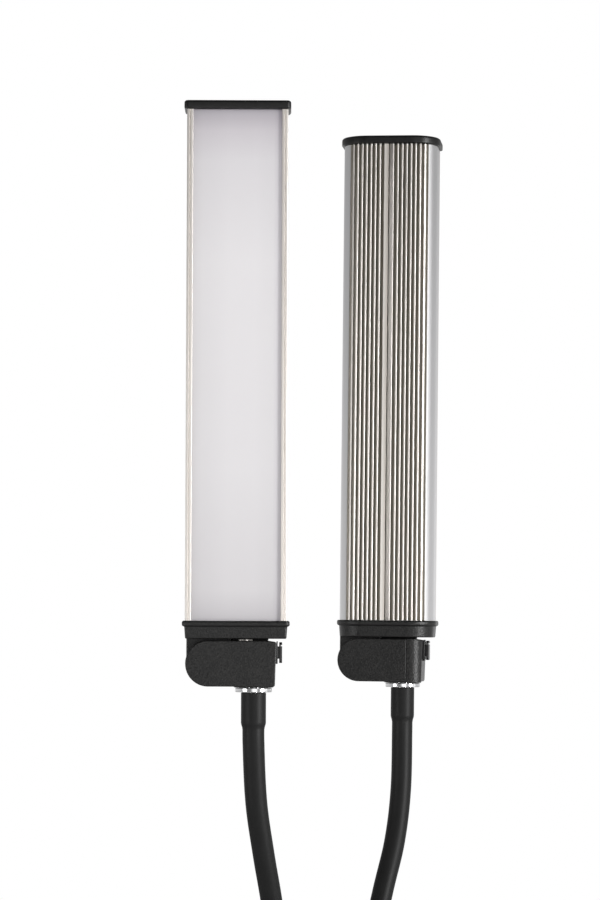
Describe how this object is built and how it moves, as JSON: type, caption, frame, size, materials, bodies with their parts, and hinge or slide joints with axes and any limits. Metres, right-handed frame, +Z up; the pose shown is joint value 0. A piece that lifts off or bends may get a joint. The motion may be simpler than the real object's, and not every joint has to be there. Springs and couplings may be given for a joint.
{
  "type": "double arm led fill light",
  "caption": "Two slim finned aluminium light bars on fold hinges and bendable necks that rise from one hub with a clamp socket for a light stand.",
  "frame": {"origin": "centre of the stand socket's mouth, on the stand's axis", "axes": "+Z up along the stand; -Y to the front, which the left bar's diffuser faces; +X to the right, from the left arm to the right arm"},
  "size_m": [0.1618, 0.1698, 0.7445],
  "materials": {
    "black_plastic": "fine matte grain",
    "switch_plastic": "glossy",
    "neck_rubber": "satin",
    "bar_aluminium": "extruded, clear anodised",
    "fitting_chrome": "polished",
    "steel": "zinc plated",
    "brass": "turned",
    "diffuser": "milky, satin",
    "led_board": "white solder mask",
    "driver_board": "green solder mask"
  },
  "bodies": {
    "hub": {"hub_bottom": "black_plastic", "hub_top": "black_plastic", "hub_screw_1": "steel", "hub_screw_2": "steel", "driver_board": "driver_board", "power_inlet": "switch_plastic", "stand_socket": "steel", "left_neck_root": "neck_rubber", "left_root_nut": "steel", "right_neck_root": "neck_rubber", "right_root_nut": "steel"},
    "clamp_screw": {"clamp_stud": "steel"},
    "clamp_grip": {"clamp_knob": "black_plastic"},
    "left_neck_a": {"left_neck_1": "neck_rubber"},
    "left_neck_b": {"left_neck_2": "neck_rubber"},
    "left_neck_c": {"left_neck_3": "neck_rubber"},
    "left_neck_d": {"left_neck_4": "neck_rubber", "left_neck_sleeve": "neck_rubber", "left_neck_fitting": "fitting_chrome", "left_fitting_nut": "steel"},
    "left_block": {"left_block_body": "black_plastic", "left_block_cover": "black_plastic", "left_pivot_bolt": "steel", "left_pivot_nut": "steel", "left_pivot_washer": "brass", "left_switch_frame": "switch_plastic"},
    "left_button": {"left_switch_button": "switch_plastic"},
    "left_bar": {"left_bottom_cap": "black_plastic", "left_bottom_cap_screw_1": "steel", "left_bottom_cap_screw_2": "steel", "left_housing": "bar_aluminium", "left_diffuser": "diffuser", "left_led_board": "led_board", "left_top_cap": "black_plastic", "left_top_cap_screw_1": "steel", "left_top_cap_screw_2": "steel"},
    "right_neck_a": {"right_neck_1": "neck_rubber"},
    "right_neck_b": {"right_neck_2": "neck_rubber"},
    "right_neck_c": {"right_neck_3": "neck_rubber"},
    "right_neck_d": {"right_neck_4": "neck_rubber", "right_neck_sleeve": "neck_rubber", "right_neck_fitting": "fitting_chrome", "right_fitting_nut": "steel"},
    "right_block": {"right_block_body": "black_plastic", "right_block_cover": "black_plastic", "right_pivot_bolt": "steel", "right_pivot_nut": "steel", "right_pivot_washer": "brass", "right_switch_frame": "switch_plastic"},
    "right_button": {"right_switch_button": "switch_plastic"},
    "right_bar": {"right_bottom_cap": "black_plastic", "right_bottom_cap_screw_1": "steel", "right_bottom_cap_screw_2": "steel", "right_housing": "bar_aluminium", "right_diffuser": "diffuser", "right_led_board": "led_board", "right_top_cap": "black_plastic", "right_top_cap_screw_1": "steel", "right_top_cap_screw_2": "steel"}
  },
  "joints": [
    {"name": "clamp_advance", "type": "slide", "parent": "hub", "child": "clamp_screw", "axis": [0, 1, 0], "range_m": [0, 0.0025]},
    {"name": "clamp_turn", "type": "hinge", "parent": "clamp_screw", "child": "clamp_grip", "pos_m": [0, -0.019, 0.014], "axis": [0, 1, 0], "range_deg": [0, 900]},
    {"name": "left_bend_low_side", "type": "hinge", "parent": "hub", "child": "left_neck_a", "pos_m": [-0.022, 0, 0.0787], "axis": [0, 1, 0], "range_deg": [-45, 25]},
    {"name": "left_bend_low_fore", "type": "hinge", "parent": "left_neck_a", "child": "left_neck_b", "pos_m": [-0.02029, -0.00835, 0.16006], "axis": [1, 0, 0], "range_deg": [-45, 45]},
    {"name": "left_bend_high_side", "type": "hinge", "parent": "left_neck_b", "child": "left_neck_c", "pos_m": [-0.02284, -0.03051, 0.23869], "axis": [0, 1, 0], "range_deg": [-45, 45]},
    {"name": "left_bend_high_fore", "type": "hinge", "parent": "left_neck_c", "child": "left_neck_d", "pos_m": [-0.03418, -0.05531, 0.31579], "axis": [1, 0, 0], "range_deg": [-45, 45]},
    {"name": "left_swivel", "type": "hinge", "parent": "left_neck_d", "child": "left_block", "pos_m": [-0.03828, -0.064, 0.4004], "axis": [0.0052, 0, 1], "range_deg": [-175, 175]},
    {"name": "left_fold", "type": "hinge", "parent": "left_block", "child": "left_bar", "pos_m": [-0.06456, -0.064, 0.41389], "axis": [0, -1, 0], "range_deg": [0, 170]},
    {"name": "left_button_press", "type": "slide", "parent": "left_block", "child": "left_button", "axis": [-1, 0, 0.0052], "range_m": [0, 0.0008], "stiffness_N_per_m": 3000},
    {"name": "right_bend_low_side", "type": "hinge", "parent": "hub", "child": "right_neck_a", "pos_m": [0.022, 0, 0.0787], "axis": [0, 1, 0], "range_deg": [-25, 45]},
    {"name": "right_bend_low_fore", "type": "hinge", "parent": "right_neck_a", "child": "right_neck_b", "pos_m": [0.02314, 0.00843, 0.16051], "axis": [1, 0, 0], "range_deg": [-45, 45]},
    {"name": "right_bend_high_side", "type": "hinge", "parent": "right_neck_b", "child": "right_neck_c", "pos_m": [0.0336, 0.03059, 0.23891], "axis": [0, 1, 0], "range_deg": [-45, 45]},
    {"name": "right_bend_high_fore", "type": "hinge", "parent": "right_neck_c", "child": "right_neck_d", "pos_m": [0.05159, 0.05517, 0.31524], "axis": [1, 0, 0], "range_deg": [-45, 45]},
    {"name": "right_swivel", "type": "hinge", "parent": "right_neck_d", "child": "right_block", "pos_m": [0.05435, 0.064, 0.4004], "axis": [0.014, 0, 0.9999], "range_deg": [-175, 175]},
    {"name": "right_fold", "type": "hinge", "parent": "right_block", "child": "right_bar", "pos_m": [0.0284, 0.0673, 0.41411], "axis": [-0.1253, -0.9921, 0.0017], "range_deg": [0, 170]},
    {"name": "right_button_press", "type": "slide", "parent": "right_block", "child": "right_button", "axis": [-0.992, 0.1253, 0.0139], "range_m": [0, 0.0008], "stiffness_N_per_m": 3000}
  ],
  "couplings": [
    {"joint": "clamp_advance", "follows": "clamp_turn", "m_per_rad": 0.000159}
  ]
}
